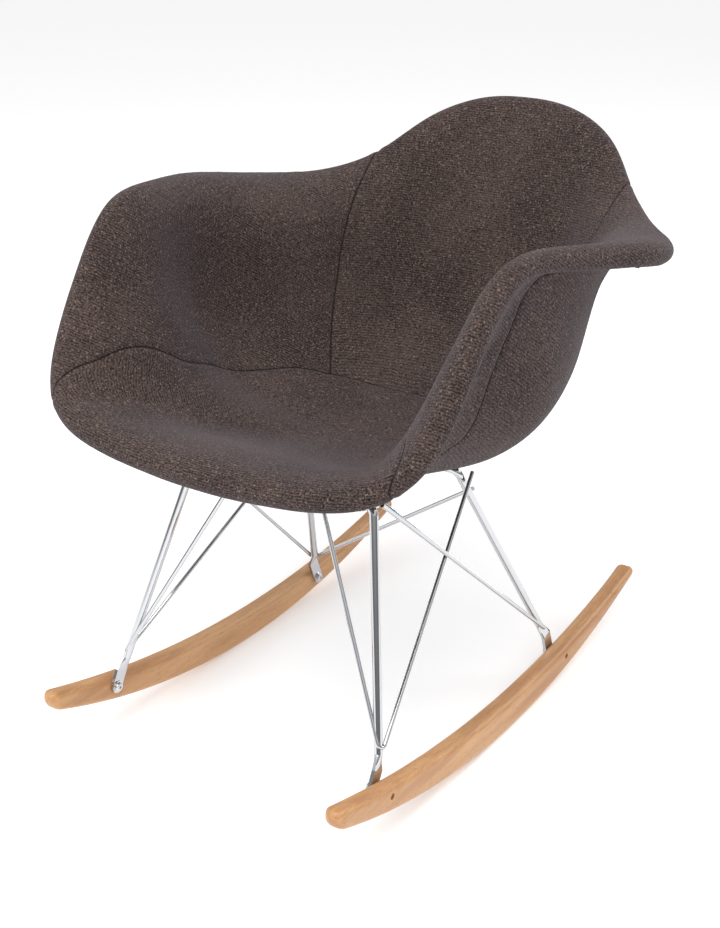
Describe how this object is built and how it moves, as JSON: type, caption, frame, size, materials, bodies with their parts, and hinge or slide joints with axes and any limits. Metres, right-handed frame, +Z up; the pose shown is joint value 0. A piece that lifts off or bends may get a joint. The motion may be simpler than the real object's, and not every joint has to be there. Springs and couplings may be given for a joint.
{
  "type": "rocking armchair",
  "caption": "Upholstered bucket armchair with rolled arms on a braced chromed wire base with two curved beech rockers.",
  "frame": {"origin": "floor level, under the middle of the whole width and depth", "axes": "+Z up, the sitter faces -Y, X = 0 is the plane of symmetry and +X is the sitter's left"},
  "size_m": [0.6326, 0.7334, 0.6714],
  "materials": {
    "upholstery": "matte",
    "shell_plastic": "matte",
    "foam": "matte",
    "rubber": "matte",
    "beech": "satin",
    "chrome": "polished",
    "fastener_steel": "satin",
    "insert_steel": "satin"
  },
  "bodies": {
    "root": {"back_cover": "upholstery", "foam_pad": "foam", "front_cross_rod": "chrome", "front_left_brace_wire": "chrome", "front_left_leg": "chrome", "front_left_mount_plate": "chrome", "front_left_shock_mount": "rubber", "front_right_brace_wire": "chrome", "front_right_leg": "chrome", "front_right_mount_plate": "chrome", "front_right_shock_mount": "rubber", "left_arm_cover": "upholstery", "left_rocker": "beech", "mount_screw_washers": "fastener_steel", "mount_screws": "fastener_steel", "outer_cover": "upholstery", "rear_cross_rod": "chrome", "rear_left_brace_wire": "chrome", "rear_left_leg": "chrome", "rear_left_mount_plate": "chrome", "rear_left_shock_mount": "rubber", "rear_right_brace_wire": "chrome", "rear_right_leg": "chrome", "rear_right_mount_plate": "chrome", "rear_right_shock_mount": "rubber", "right_arm_cover": "upholstery", "right_rocker": "beech", "rocker_inserts": "insert_steel", "rocker_screw_washers": "fastener_steel", "rocker_screws": "fastener_steel", "seat_panel_cover": "upholstery", "seat_shell": "shell_plastic", "shock_mount_inserts": "insert_steel"}
  },
  "joints": []
}
